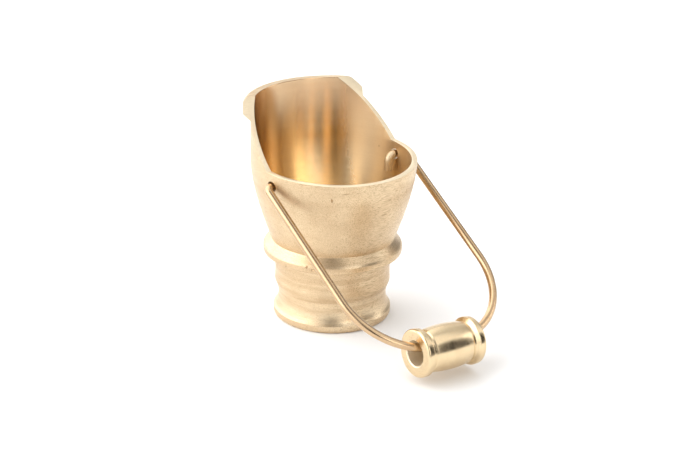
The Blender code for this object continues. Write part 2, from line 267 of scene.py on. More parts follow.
def brassMaterial(look):
    scuffRoughness = 0.12      # what a handling mark adds
    acrossRings = 0.25         # a quarter turn, so that streaks run across the turned rings
    material = bpy.data.materials.new(look["name"])
    material.use_nodes = True
    tree = material.node_tree
    shader = tree.nodes["Principled BSDF"]
    coords = addNode(tree, "ShaderNodeTexCoord", -1400, 0)
    place = addNode(tree, "ShaderNodeMapping", -1200, 0, vector_type="POINT")
    tree.links.new(coords.outputs["Object"], place.inputs["Vector"])
    place.inputs["Location"].default_value = look.get("offset", (0, 0, 0))
    place.inputs["Rotation"].default_value = look.get("turn", (0, 0, 0))
    vector = place.outputs[0]

    def groupNode(group, y, **values):
        node = addNode(tree, "ShaderNodeGroup", -900, y, node_tree=group)
        tree.links.new(vector, node.inputs["Vector"])
        for key, value in values.items():
            node.inputs[key.replace("_", " ")].default_value = value
        return node

    lines = groupNode(turningLines, 300, Spacing=look["lineSpacing"], Wander=look["lineWander"])
    marks = groupNode(handlingMarks, 0, Size=look["markSize"], Amount=look["markAmount"])
    tone = groupNode(brassTone, -300, Clean=look["clean"], Aged=look["aged"],
                     Patch_Size=look["patchSize"], Age=look["age"])
    spot = addNode(tree, "ShaderNodeSeparateXYZ", -700, 500)
    tree.links.new(coords.outputs["Object"], spot.inputs[0])
    bands = rangeNode(tree, lines.outputs["Bands"], 0.35, 0.65, 0.0, look["bandTint"])
    if "bandFade" in look:
        fade = rangeNode(tree, spot.outputs["Z"], *look["bandFade"])
        bands = mathNode(tree, "MULTIPLY", bands, fade)
    base = tone.outputs["Color"]
    # painted light and shade: between two heights the colour is mixed towards a lighter or a darker
    # one
    if "paintedLightBand" in look:
        inPaintedLightBand = rangeNode(tree, spot.outputs["Z"], *look["paintedLightBand"])
        base = mixColour(tree, inPaintedLightBand, base, look["paintedLightColour"])
    banded = mixColour(tree, bands, base, look["aged"])
    onLine = rangeNode(tree, lines.outputs["Height"], 0.5, 0.75, 0.0, look["lineTint"])
    lined = mixColour(tree, onLine, banded, look["aged"])
    dirt = mathNode(tree, "MULTIPLY", marks.outputs["Pits"], look["pitTint"])
    rubbed = mathNode(tree, "MULTIPLY", marks.outputs["Mask"], look["markTint"])
    colour = mixColour(tree, mathNode(tree, "MAXIMUM", dirt, rubbed), lined, look["pitColour"])
    tree.links.new(colour, shader.inputs["Base Color"])
    rough = mathNode(tree, "ADD", look["roughness"],
                     rangeNode(tree, lines.outputs["Bands"], 0.3, 0.7, -look["roughSpread"],
                               look["roughSpread"], kind="LINEAR"))
    if "mattSide" in look:
        matt = rangeNode(tree, spot.outputs["X"], *look["mattSide"])
        rough = mathNode(tree, "ADD", rough, matt)
    scuffed = mathNode(tree, "MULTIPLY", marks.outputs["Mask"], scuffRoughness)
    rough = mathNode(tree, "ADD", rough, scuffed, clamp=True)
    tree.links.new(rough, shader.inputs["Roughness"])
    raised = mathNode(tree, "MULTIPLY", lines.outputs["Height"], look["lineDepth"])
    scratched = mathNode(tree, "MULTIPLY", marks.outputs["Mask"], look["markDepth"])
    pitted = mathNode(tree, "MULTIPLY", marks.outputs["Pits"], look["pitDepth"])
    height = mathNode(tree, "SUBTRACT", raised, mathNode(tree, "ADD", scratched, pitted))
    bump = addNode(tree, "ShaderNodeBump", -200, -400)
    bump.inputs["Strength"].default_value = 1.0
    bump.inputs["Distance"].default_value = 1.0
    tree.links.new(height, bump.inputs["Height"])
    tree.links.new(bump.outputs[0], shader.inputs["Normal"])
    shader.inputs["Metallic"].default_value = 1.0
    shader.inputs["Anisotropic"].default_value = look["anisotropy"]
    shader.inputs["Anisotropic Rotation"].default_value = acrossRings
    if look["anisotropy"] > 0:
        around = addNode(tree, "ShaderNodeVectorMath", -700, -600, operation="CROSS_PRODUCT")
        around.inputs[0].default_value = look.get("axis", (0, 0, 1))
        reach = addNode(tree, "ShaderNodeVectorMath", -900, -700, operation="SUBTRACT")
        tree.links.new(coords.outputs["Object"], reach.inputs[0])
        reach.inputs[1].default_value = look.get("centre", (0, 0, 0))
        tree.links.new(reach.outputs[0], around.inputs[1])
        tree.links.new(around.outputs[0], shader.inputs["Tangent"])
    return material


# lengths in metres; the band of painted light and shade, bandFade: from height, to height, value,
# value; mattSide the same in X
brassLooks = {
    "outside": {"name": "brassSatin",
                "clean": (0.768, 0.604, 0.395, 1), "aged": (0.57, 0.40, 0.235, 1),
                "patchSize": 0.0042, "age": 0.50, "lineSpacing": 0.00022, "lineWander": 0.8,
                "bandTint": 0.50, "bandFade": (0.0135, 0.0175, 1.0, 0.22),
                # painted light: the foot and its flare, below the waist, are mixed towards a
                # lighter colour
                "paintedLightBand": (0.0062, 0.0069, 0.8, 0.0), "paintedLightColour": (0.84, 0.68, 0.46, 1),
                "lineTint": 0.30, "lineDepth": 0.0000035, "markSize": 0.0026,
                "markAmount": 1.0, "markTint": 0.60, "markDepth": 0.000004, "pitDepth": 0.00001,
                "pitTint": 0.6, "pitColour": (0.36, 0.24, 0.13, 1), "roughness": 0.36,
                "roughSpread": 0.05, "anisotropy": 0.45},
    "bore": {"name": "brassBored", "clean": (0.820, 0.630, 0.385, 1), "aged": (0.66, 0.45, 0.25, 1),
             "patchSize": 0.012, "age": 0.22, "lineSpacing": 0.00030, "lineWander": 0.12,
             "mattSide": (0.0104, 0.0145, 0.0, 0.27),
             # painted shade: the upper bore, under the hood, is mixed towards a darker, deeper
             # orange, the colour of light bounced inside the bowl
             "paintedLightBand": (0.0335, 0.0440, 0.0, 0.80), "paintedLightColour": (0.60, 0.40, 0.235, 1),
             "bandTint": 0.05, "lineTint": 0.22, "lineDepth": 0.000002, "markSize": 0.003,
             "markAmount": 0.3, "markTint": 0.15, "markDepth": 0.000001, "pitDepth": 0.000008,
             "pitTint": 0.4, "pitColour": (0.30, 0.19, 0.10, 1), "roughness": 0.20,
             "roughSpread": 0.02, "anisotropy": 0.88},
    "cut": {"name": "brassCut", "clean": (0.87, 0.74, 0.53, 1), "aged": (0.74, 0.57, 0.37, 1),
            "patchSize": 0.006, "age": 0.25, "lineSpacing": 0.0004, "lineWander": 2.0,
            "bandTint": 0.1, "lineTint": 0.1, "lineDepth": 0.000002, "markSize": 0.0016,
            "markAmount": 0.8, "markTint": 0.2, "markDepth": 0.000003, "pitDepth": 0.000006,
            "pitTint": 0.4, "pitColour": (0.38, 0.25, 0.14, 1), "roughness": 0.38,
            "roughSpread": 0.03, "anisotropy": 0.0},
    "wire": {"name": "brassWire", "clean": (0.64, 0.455, 0.275, 1), "aged": (0.44, 0.28, 0.15, 1),
             "patchSize": 0.004, "age": 0.50, "lineSpacing": 0.0006, "lineWander": 3.0,
             "bandTint": 0.10, "lineTint": 0.05, "lineDepth": 0.0, "markSize": 0.0014,
             "markAmount": 0.7, "markTint": 0.35, "markDepth": 0.000002, "pitDepth": 0.000002,
             "pitTint": 0.5, "pitColour": (0.26, 0.15, 0.08, 1), "roughness": 0.20,
             "roughSpread": 0.04, "anisotropy": 0.0},
    # painted light: the wire's hooks inside the bowl get a paler colour for the light that falls on
    # them; the finish is also rougher
    "paintedLitHook": {"name": "brassHookPaintedLit", "clean": (0.86, 0.71, 0.49, 1), "aged": (0.62, 0.45, 0.27, 1),
              "patchSize": 0.002, "age": 0.35, "lineSpacing": 0.0005, "lineWander": 3.0,
              "bandTint": 0.10, "lineTint": 0.10, "lineDepth": 0.000001, "markSize": 0.0010,
              "markAmount": 0.8, "markTint": 0.35, "markDepth": 0.000003, "pitDepth": 0.000003,
              "pitTint": 0.5, "pitColour": (0.30, 0.18, 0.09, 1), "roughness": 0.50,
              "roughSpread": 0.04, "anisotropy": 0.0},
    "grip": {"name": "brassPolished", "clean": (0.82, 0.65, 0.41, 1), "aged": (0.66, 0.48, 0.28, 1),
             "patchSize": 0.005, "age": 0.3, "lineSpacing": 0.00025, "lineWander": 0.4,
             "bandTint": 0.15, "lineTint": 0.15, "lineDepth": 0.0000015, "markSize": 0.0016,
             "markAmount": 0.7, "markTint": 0.25, "markDepth": 0.000002, "pitDepth": 0.000005,
             "pitTint": 0.5, "pitColour": (0.34, 0.21, 0.11, 1), "roughness": 0.19,
             "roughSpread": 0.04, "anisotropy": 0.35},
    # painted light: the drilled bore is given a pale cream colour, near white, for the light that
    # falls into it; its rougher finish is its own
    "gripBore": {"name": "brassDrilledPaintedLit",
                 "clean": (0.98, 0.88, 0.70, 1), "aged": (0.90, 0.74, 0.52, 1),
                 "patchSize": 0.003, "age": 0.3, "lineSpacing": 0.0003, "lineWander": 0.4,
                 "bandTint": 0.2, "lineTint": 0.2, "lineDepth": 0.000003, "markSize": 0.0016,
                 "markAmount": 0.5, "markTint": 0.2, "markDepth": 0.000002, "pitDepth": 0.000003,
                 "pitTint": 0.4, "pitColour": (0.34, 0.22, 0.12, 1), "roughness": 0.62,
                 "roughSpread": 0.03, "anisotropy": 0.0},
}
gripAxis = Vector(spin["axis"]).normalized()
gripPlace = gripAxis.to_track_quat("Z", "Y").to_matrix().to_4x4()
gripPlace.translation = Vector(spin["pos_m"])
undoGrip = gripPlace.inverted()
for key in ("grip", "gripBore"):
    brassLooks[key]["offset"] = tuple(undoGrip.translation)
    brassLooks[key]["turn"] = tuple(undoGrip.to_euler())
    brassLooks[key]["axis"] = tuple(gripAxis)
    brassLooks[key]["centre"] = tuple(gripPlace.translation)
finishes = {key: brassMaterial(look) for key, look in brassLooks.items()}
print("finishes made:", len(finishes))


# Geometry node trees.

def finishTree(tree, inside, outside, shape):
    # makes the shape real, gives it the finish that came in and hands it out
    real = addNode(tree, "GeometryNodeRealizeInstances", 750, 100)
    tree.links.new(shape, real.inputs[0])
    paint = addNode(tree, "GeometryNodeSetMaterial", 950, 100)
    tree.links.new(real.outputs[0], paint.inputs["Geometry"])
    tree.links.new(inside.outputs["Finish"], paint.inputs["Material"])
    tree.links.new(paint.outputs[0], outside.inputs[0])
    return tree


def makeLatheTree():
    # turns the outline that comes in, point by point, about Z
    rowNudge = 0.0005      # keeps a whole row number from falling just below itself
    weldReach = 0.000001
    tree, inside, outside = newGroup("latheTurn", [
        ("Outline", "Geometry", None), ("Segments", "Int", None), ("Finish", "Material", None)],
        [("Turned", "Geometry")], "GeometryNodeTree")
    link = tree.links.new
    segments = inside.outputs["Segments"]
    size = addNode(tree, "GeometryNodeAttributeDomainSize", -1000, 200, component="MESH")
    link(inside.outputs["Outline"], size.inputs[0])
    columns = mathNode(tree, "ADD", segments, 1)
    grid = addNode(tree, "GeometryNodeMeshGrid", -700, 100)
    link(size.outputs["Point Count"], grid.inputs["Vertices X"])
    link(columns, grid.inputs["Vertices Y"])
    index = addNode(tree, "GeometryNodeInputIndex", -1000, -300).outputs[0]
    nudged = mathNode(tree, "ADD", mathNode(tree, "DIVIDE", index, columns), rowNudge)
    row = mathNode(tree, "FLOOR", nudged)
    column = mathNode(tree, "SUBTRACT", index, mathNode(tree, "MULTIPLY", row, columns))
    radians = mathNode(tree, "MULTIPLY", mathNode(tree, "DIVIDE", column, segments), 2 * math.pi)
    position = addNode(tree, "GeometryNodeInputPosition", -700, -700)
    sample = addNode(tree, "GeometryNodeSampleIndex", -300, -100,
                     data_type="FLOAT_VECTOR", domain="POINT")
    link(inside.outputs["Outline"], sample.inputs["Geometry"])
    link(position.outputs[0], sample.inputs["Value"])
    link(row, sample.inputs["Index"])
    turn = addNode(tree, "ShaderNodeVectorRotate", 150, -200, rotation_type="Z_AXIS")
    link(sample.outputs[0], turn.inputs["Vector"])
    link(radians, turn.inputs["Angle"])
    place = addNode(tree, "GeometryNodeSetPosition", 350, 100)
    link(grid.outputs["Mesh"], place.inputs["Geometry"])
    link(turn.outputs[0], place.inputs["Position"])
    weld = addNode(tree, "GeometryNodeMergeByDistance", 550, 100)
    link(place.outputs[0], weld.inputs["Geometry"])
    weld.inputs["Distance"].default_value = weldReach
    return finishTree(tree, inside, outside, weld.outputs[0])


def makeWireTree():
    # sweeps a round wire along the curve that comes in, by each point's own radius
    tree, inside, outside = newGroup("wireSweep", [
        ("Path", "Geometry", None), ("Wire Radius", "Float", None), ("Sides", "Int", None),
        ("Finish", "Material", None)], [("Wire", "Geometry")], "GeometryNodeTree")
    link = tree.links.new
    ring = addNode(tree, "GeometryNodeCurvePrimitiveCircle", -600, -200, mode="RADIUS")
    link(inside.outputs["Sides"], ring.inputs["Resolution"])
    link(inside.outputs["Wire Radius"], ring.inputs["Radius"])
    sweep = addNode(tree, "GeometryNodeCurveToMesh", -300, 0)
    link(inside.outputs["Path"], sweep.inputs["Curve"])
    link(ring.outputs["Curve"], sweep.inputs["Profile Curve"])
    sweep.inputs["Fill Caps"].default_value = True
    radius = addNode(tree, "GeometryNodeInputRadius", -600, 200)
    link(radius.outputs[0], sweep.inputs["Scale"])
    return finishTree(tree, inside, outside, sweep.outputs[0])


latheTurn = makeLatheTree()
wireSweep = makeWireTree()


def runTree(obj, tree, **values):
    # sets the named inputs by identifier, then swaps the result in as a plain mesh
    modifier = obj.modifiers.new(tree.name, "NODES")
    modifier.node_group = tree
    for item in tree.interface.items_tree:
        key = item.name.replace(" ", "_")
        if item.in_out == "INPUT" and key in values:
            modifier[item.identifier] = values[key]
    return bakeModifiers(obj)


def newObject(name, data):
    obj = bpy.data.objects.new(name, data)
    bpy.context.scene.collection.objects.link(obj)
    return obj


def bakeModifiers(obj):
    bpy.context.view_layer.update()
    evaluated = obj.evaluated_get(bpy.context.evaluated_depsgraph_get())
    mesh = bpy.data.meshes.new_from_object(evaluated)
    name = obj.name
    bpy.data.objects.remove(obj)
    mesh.name = name
    return newObject(name, mesh)


def outlineObject(name, points):
    mesh = bpy.data.meshes.new(name)
    mesh.from_pydata([(r * mm, 0.0, z * mm) for r, z in points],
                     [(i, i + 1) for i in range(len(points) - 1)], [])
    return newObject(name, mesh)


def outwardNormals(obj):
    shape = bmesh.new()
    shape.from_mesh(obj.data)
    bmesh.ops.remove_doubles(shape, verts=shape.verts, dist=0.000001)
    bmesh.ops.recalc_face_normals(shape, faces=shape.faces)
    shape.to_mesh(obj.data)
    shape.free()


def softenEdges(obj, angle):
    obj.data.shade_smooth()
    obj.data.set_sharp_from_angle(angle=math.radians(angle))


# The turned body.

body = {
    "segments": 320,
    "footRadius": 12.0, "footFace": 11.3, "footEdge": 1.6, "footShoulder": 0.45,
    "neckRadius": 11.0, "neckHeight": 4.7,
    "waistRadius": 11.8, "waistBottom": 6.6, "waistTaper": 0.4, "waistDrawIn": 1.0,
    "collarRadius": 14.1, "collarBottom": 13.7, "collarTop": 16.75, "collarEdge": 0.9,
    "collarRound": 0.45,
    "bowlFoot": 12.5, "hoodRadius": 16.6, "hoodStart": 33.5, "flare": 0.385,
    "height": 45.0, "lipRadius": 18.05, "lipHeight": 3.6, "lipRound": 1.15, "lipUndercut": 1.3,
    "wall": 1.15, "boreTaper": 0.03, "floor": 17.5, "floorRound": 1.2,
    "rimHeight": 33.6, "rimDrop": 2.0, "slant": 45.0, "slantStart": 0.4,
    "wireHole": 1.15, "edgeSoft": 0.13, "turnedSoft": 0.12,
    "holeTop": 1.95,                            # above the bail's axis, where the bore opens
    "holeSides": 48, "holeReach": 50.0,
    "lipTopFlat": 1.6, "lipSide": 1.5, "lipFootRound": 0.16,
    "collarStep": 0.27, "collarStepRound": 0.2,
    "underCollar": (0.38, 0.35),                # outwards and downwards, the little cove's size
    "coveRounds": (0.08, 0.15),
    "waistLine": (11.30, 11.22), "waistLineDepth": 0.07, "waistSink": 0.03,
    "lineRound": 0.04, "drawInRound": 0.6, "waistEdgeRound": 0.07, "shoulderRound": 0.1,
    # heights and radii that only add a row of points
    "floorRows": (2.0, 6.0), "boreRows": (35.5, 38.0, 41.0, 43.5), "hoodRows": (39.0, 37.0, 35.0),
    "waistRow": 9.0, "footRows": (9.0, 5.0),
    "mouthReach": 26.0, "mouthAbove": 6.0,      # how far the mouth's cutter runs past the body
    "rimBand": 1.4,                             # how far below the rim a sawn face can lie
    "nickFat": 2.2,                             # a nick's cutter against its depth
    # small knocks: azimuth, height, half length, half width, depth, lean
    "nicks": [(-90, 15.6, 0.85, 0.22, 0.26, 62), (-146, 14.6, 0.55, 0.26, 0.20, 20),
              (-151, 15.1, 0.40, 0.24, 0.18, 75), (-138, 16.0, 0.36, 0.18, 0.14, 40),
              (-131, 30.2, 0.22, 0.52, 0.26, 12), (-128, 26.8, 0.20, 0.24, 0.12, 30),
              (-122, 31.6, 0.95, 0.13, 0.09, 10), (-117, 32.0, 0.50, 0.12, 0.08, 18),
              (-84, 10.4, 0.36, 0.16, 0.12, 80), (-96, 27.7, 0.30, 0.14, 0.10, 55),
              (-152, 9.6, 0.38, 0.16, 0.12, 30), (-112, 1.1, 0.36, 0.16, 0.12, 5),
              (-104, 8.9, 0.32, 0.20, 0.12, 10), (-158, 8.6, 0.70, 0.14, 0.11, 8),
              (-150, 33.0, 0.90, 0.16, 0.12, -6), (-141, 32.9, 0.60, 0.14, 0.11, 4),
              (-88, 24.2, 0.24, 0.22, 0.10, 0)],
}


def bowlCurve(count):
    control = body["collarTop"] + (body["hoodRadius"] - body["bowlFoot"]) / body["flare"]
    return bezierPoints((body["bowlFoot"], body["collarTop"]), (body["hoodRadius"], control),
                        (body["hoodRadius"], body["hoodStart"]), count)


def bodyCorners():
    b = body
    bore = b["hoodRadius"] - b["wall"]
    inner = [(r - b["wall"], z) for r, z in bowlCurve(28)]
    aboveFloor = b["floor"] + b["floorRound"] + 0.1
    inner = [(r, z) for r, z in inner if z > aboveFloor and r < bore - 0.02]
    corners = [(0.0, b["floor"], 0)] + [(r, b["floor"], 0) for r in b["floorRows"]]
    corners.append((inner[0][0] - 0.06, b["floor"], b["floorRound"]))
    corners += [(r, z, 0) for r, z in inner]
    corners.append((bore, pivot.z + b["holeTop"], 0))
    corners += [(bore + b["boreTaper"] * (z - pivot.z), z, 0) for z in b["boreRows"]]
    mouth = bore + b["boreTaper"] * (b["height"] - pivot.z)
    corners.append((mouth, b["height"], b["turnedSoft"]))
    top = b["height"] - b["lipHeight"]
    lip = filletOutline([(b["lipRadius"] - b["lipTopFlat"], b["height"], 0),
                         (b["lipRadius"], b["height"], b["lipRound"]),
                         (b["lipRadius"], top + b["lipSide"], 0)], 11)
    corners += [(p.x, p.y, 0) for p in lip[1:-1]]
    corners.append((b["lipRadius"], top + b["lipUndercut"], b["lipFootRound"]))
    corners.append((b["hoodRadius"], top, b["turnedSoft"]))
    corners += [(b["hoodRadius"], z, 0) for z in b["hoodRows"]]
    outer = bowlCurve(30)
    outer.reverse()
    corners += [(r, z, 0) for r, z in outer[:-1]]
    corners.append((b["bowlFoot"], b["collarTop"], b["turnedSoft"]))
    edge = b["collarBottom"] + b["collarRound"] + b["collarEdge"]
    corners.append((b["collarRadius"] - b["collarStep"], edge + b["collarRound"],
                    b["collarStepRound"]))
    corners.append((b["collarRadius"], edge, b["collarStepRound"]))
    corners.append((b["collarRadius"], b["collarBottom"], b["collarRound"]))
    outwards, downwards = b["underCollar"]
    coveTop, coveFoot = b["coveRounds"]
    corners.append((b["waistRadius"] + outwards, b["collarBottom"], coveTop))
    corners.append((b["waistRadius"], b["collarBottom"] - downwards, coveFoot))
    upper, lower = b["waistLine"]
    sunk = b["waistRadius"] - b["waistSink"]
    deep = sunk - b["waistLineDepth"]
    corners += [(sunk, upper, b["lineRound"]), (deep, lower, b["lineRound"]),
                (deep, b["waistRow"], 0),
                (sunk, b["waistBottom"] + b["waistDrawIn"], b["drawInRound"])]
    waistEdge = (b["waistRadius"] - b["waistTaper"], b["waistBottom"])
    corners.append((*waistEdge, b["waistEdgeRound"]))
    shoulder = (b["footRadius"] - b["footShoulder"], b["footEdge"] + b["footShoulder"])
    neck = circleThrough(waistEdge, (b["neckRadius"], b["neckHeight"]), shoulder, 14)
    corners += [(r, z, 0) for r, z in neck[1:-1]]
    corners.append((*shoulder, b["shoulderRound"]))
    corners.append((b["footRadius"], b["footEdge"], b["turnedSoft"]))
    corners.append((b["footRadius"], 0.0, b["footRadius"] - b["footFace"]))
    return corners + [(r, 0.0, 0) for r in (*b["footRows"], 0.0)]


def newCutter(name, mesh):
    obj = newObject(name, mesh)
    obj.hide_render = True
    return obj


def mouthCutter():
    b = body
    half = b["mouthReach"]
    front, above = -half, b["height"] + b["mouthAbove"]
    low = b["rimHeight"] + (front - b["slantStart"]) * math.tan(math.radians(b["rimDrop"]))
    back = b["slantStart"] + (above - b["rimHeight"]) / math.tan(math.radians(b["slant"]))
    side = [(front, low), (b["slantStart"], b["rimHeight"]), (back, above), (front, above)]
    mesh = bpy.data.meshes.new("mouthCutter")
    verts = [(x * mm, y * mm, z * mm) for x in (-half, half) for y, z in side]
    faces = [(3, 2, 1, 0), (4, 5, 6, 7)]
    faces += [(i, (i + 1) % 4, (i + 1) % 4 + 4, i + 4) for i in range(4)]
    mesh.from_pydata(verts, [], faces)
    obj = newCutter("mouthCutter", mesh)
    outwardNormals(obj)
    return obj


def holeCutter():
    mesh = bpy.data.meshes.new("holeCutter")
    shape = bmesh.new()
    turned = Matrix.Translation(pivot * mm) @ Matrix.Rotation(math.pi / 2, 4, "Y")
    radius = body["wireHole"] * mm
    bmesh.ops.create_cone(shape, cap_ends=True, segments=body["holeSides"], radius1=radius,
                          radius2=radius, depth=body["holeReach"] * mm, matrix=turned)
    shape.to_mesh(mesh)
    shape.free()
    return newCutter("holeCutter", mesh)


def outerRadius(height):
    # the body's outside at a height, for what is cut into it
    b = body
    if height < b["neckHeight"]:
        return b["footRadius"]
    if height < b["collarBottom"]:
        return b["waistRadius"]
    if height < b["collarTop"]:
        return b["collarRadius"] - b["turnedSoft"] * (height > b["collarBottom"] + b["collarEdge"])
    curve = bowlCurve(60)
    return min(curve, key=lambda point: abs(point[1] - height))[0]


def nickCutter():
    shape = bmesh.new()
    for azimuth, height, length, width, depth, lean in body["nicks"]:
        fat = depth * body["nickFat"]
        place = (Matrix.Rotation(math.radians(azimuth), 4, "Z")
                 @ Matrix.Translation(Vector((outerRadius(height) + fat - depth, 0, height)) * mm)
                 @ Matrix.Rotation(math.radians(lean), 4, "X")
                 @ Matrix.Diagonal((fat * mm, length * mm, width * mm, 1)))
        bmesh.ops.create_icosphere(shape, subdivisions=3, radius=1.0, matrix=place)
    mesh = bpy.data.meshes.new("nickCutter")
    shape.to_mesh(mesh)
    shape.free()
    return newCutter("nickCutter", mesh)


def isOnCut(normal):
    # the rim's and the slanted cut's own faces look up and forwards
    sameWay = 0.9995
    leans = [math.radians(body[key]) for key in ("rimDrop", "slant")]
    return max(normal.dot(Vector((0, -math.sin(a), math.cos(a)))) for a in leans) > sameWay


def roundCutEdges(obj):
    # breaks the sharp edges that the saw left round the mouth
    shape = bmesh.new()
    shape.from_mesh(obj.data)
    bmesh.ops.remove_doubles(shape, verts=shape.verts, dist=0.00001)
    sharp = 0.5          # radians between the two faces at a sawn edge
    above = (body["rimHeight"] - body["rimBand"]) * mm
    onCut = {f for f in shape.faces if isOnCut(f.normal) and f.calc_center_median().z > above}
    edges = []
    for edge in shape.edges:
        if len(edge.link_faces) == 2 and sum(f in onCut for f in edge.link_faces) == 1:
            first, second = edge.link_faces
            if first.normal.angle(second.normal) > sharp:
                edges.append(edge)
    bmesh.ops.bevel(shape, geom=edges, offset=body["edgeSoft"] * mm, offset_type="OFFSET",
                    segments=3, profile=0.5, affect="EDGES", clamp_overlap=True)
    bmesh.ops.recalc_face_normals(shape, faces=shape.faces)
    shape.to_mesh(obj.data)
    shape.free()
    print("mouth edges rounded:", len(edges))


def paintBody(obj):
    # slot 0 outside, 1 bore, 2 sawn faces
    obj.data.materials.clear()
    for key in ("outside", "bore", "cut"):
        obj.data.materials.append(finishes[key])
    boreReach = body["hoodRadius"] - body["wall"] + 0.6
    floorReach, floorBand = 12.2, 1.3
    for face in obj.data.polygons:
        centre, normal = face.center / mm, face.normal
        radial = Vector((centre.x, centre.y, 0))
        inward = radial.length > 0.01 and normal.dot(radial.normalized()) < -0.2
        onWall = inward and centre.z > body["floor"] - 0.2 and radial.length < boreReach
        onFloor = (abs(centre.z - body["floor"]) < floorBand and radial.length < floorReach
                   and normal.z > 0.3)
        if isOnCut(normal) and centre.z > body["rimHeight"] - body["rimBand"]:
            face.material_index = 2
        else:
            face.material_index = int(onFloor or onWall)


def makeBody():
    outline = outlineObject("scuttleBodyFine", filletOutline(bodyCorners()))
    obj = runTree(outline, latheTurn, Segments=body["segments"], Finish=finishes["outside"])
    outwardNormals(obj)
    cutters = [mouthCutter(), holeCutter(), nickCutter()]
    for cutter in cutters:
        boolean = obj.modifiers.new(cutter.name, "BOOLEAN")
        boolean.operation = "DIFFERENCE"
        boolean.object = cutter
        boolean.solver = "EXACT"
    obj = bakeModifiers(obj)
    for cutter in cutters:
        bpy.data.objects.remove(cutter)
    roundCutEdges(obj)
    paintBody(obj)
    softenEdges(obj, 32)
    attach(obj, "scuttle")
    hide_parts("scuttle_body")
    return obj


# The wire bail.

bail = {
    "wireRadius": 0.8, "halfWidth": 17.9, "shift": 0.25, "reach": 42.6, "flat": 5.8,
    "eyeBend": 1.25, "hookBend": 1.4, "hookDrop": 3.2, "hookGap": 1.3,
    "sides": 28, "endChamfer": 0.12,
    "tightStep": 9, "wideStep": 3.0,      # degrees between points in the small and the large bends
    "hookRow": 0.8, "legSteps": 24,
    # where the hooks' painted light ends: off the bore's wall, off the axis, above the axis
    "paintedLitEdge": 0.3, "paintedLitReach": 1.5, "paintedLitTop": 0.9,
}


def bailDrop():
    # the lowered bail's angle below level, from the CAD wire's lowest point
    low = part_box("bail_wire")[0].z / mm + bail["wireRadius"]
    return math.asin((pivot.z - low) / bail["reach"])


def bailPoint(side, reach):
    drop = bailDrop()
    return Vector((side + bail["shift"], pivot.y - reach * math.cos(drop),
                   pivot.z - reach * math.sin(drop)))


def bendPoints(centre, radius, start, end, step):
    count = max(2, math.ceil(abs(end - start) / step))
    points = []
    for i in range(1, count + 1):
        angle = math.radians(start + (end - start) * i / count)
        points.append((centre[0] + radius * math.cos(angle), centre[1] + radius * math.sin(angle)))
    return points


def bailHalf(sign):
    b = bail
    hookX = body["hoodRadius"] - body["wall"] - b["hookGap"] - b["wireRadius"]
    bendAt = (hookX + b["hookBend"], pivot.z - b["hookBend"])
    low = pivot.z - b["hookDrop"]
    hook = [(hookX, z) for z in (low, low + b["endChamfer"], low + b["hookRow"], bendAt[1])]
    hook += bendPoints(bendAt, b["hookBend"], 180, 90, b["tightStep"])
    eye = (b["halfWidth"] - b["eyeBend"], b["eyeBend"])
    leg = [(eye[0], 0.0)] + bendPoints(eye, b["eyeBend"], -90, 0, b["tightStep"])
    bend = b["halfWidth"] - b["flat"] / 2
    corner = (b["flat"] / 2, b["reach"] - bend)
    steps = b["legSteps"]
    leg += [(b["halfWidth"], leg[-1][1] + (corner[1] - leg[-1][1]) * i / steps)
            for i in range(1, steps + 1)]
    leg += bendPoints(corner, bend, 0, 90, b["wideStep"])
    points = [Vector((sign * x + b["shift"], pivot.y, z)) for x, z in hook]
    return points + [bailPoint(sign * side, reach) for side, reach in leg]


def paintBail(obj):
    # slot 0 drawn wire, 1 the hooks inside the bowl, painted paler for the light on them
    obj.data.materials.clear()
    for key in ("wire", "paintedLitHook"):
        obj.data.materials.append(finishes[key])
    inside = body["hoodRadius"] - body["wall"] - bail["paintedLitEdge"]
    for face in obj.data.polygons:
        centre = face.center / mm
        hooked = (abs(centre.y - pivot.y) < bail["paintedLitReach"]
                  and centre.z < pivot.z + bail["paintedLitTop"])
        face.material_index = int(hooked and abs(centre.x - bail["shift"]) < inside)


def makeBail():
    left = bailHalf(-1)
    left.reverse()
    path = bailHalf(1) + left
    curve = bpy.data.curves.new("bailWireFine", "CURVE")
    curve.dimensions = "3D"
    spline = curve.splines.new("POLY")
    spline.points.add(len(path) - 1)
    for i, (point, place) in enumerate(zip(spline.points, path)):
        point.co = (*(place * mm), 1.0)
        point.radius = 1.0
        if i in (0, len(path) - 1):
            point.radius = 1.0 - bail["endChamfer"] / bail["wireRadius"]
    obj = runTree(newObject("bailWireFine", curve), wireSweep, Sides=bail["sides"],
                  Wire_Radius=bail["wireRadius"] * mm, Finish=finishes["wire"])
    outwardNormals(obj)
    paintBail(obj)
    softenEdges(obj, 40)
    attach(obj, "bail")
    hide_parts("bail_wire")
    return obj


# The spool grip.

grip = {
    "segments": 160, "length": 13.65, "beadRadius": 4.66, "beadWidth": 1.6,
    "grooveRadius": 3.9, "grooveWidth": 1.0, "barrelEnd": 4.08, "barrelMid": 4.42,
    "edgeRound": 0.5, "bore": 2.5, "boreChamfer": 0.2,
    "beadFoot": (0.2, 0.22),              # height above the groove and rounding
    "grooveEdges": (0.35, 0.25), "grooveRound": 0.1, "barrelRound": 0.08, "boreRound": 0.05,
    "boreRow": 3.0, "seam": 0.4,          # where the outline starts and ends, on the end face
}


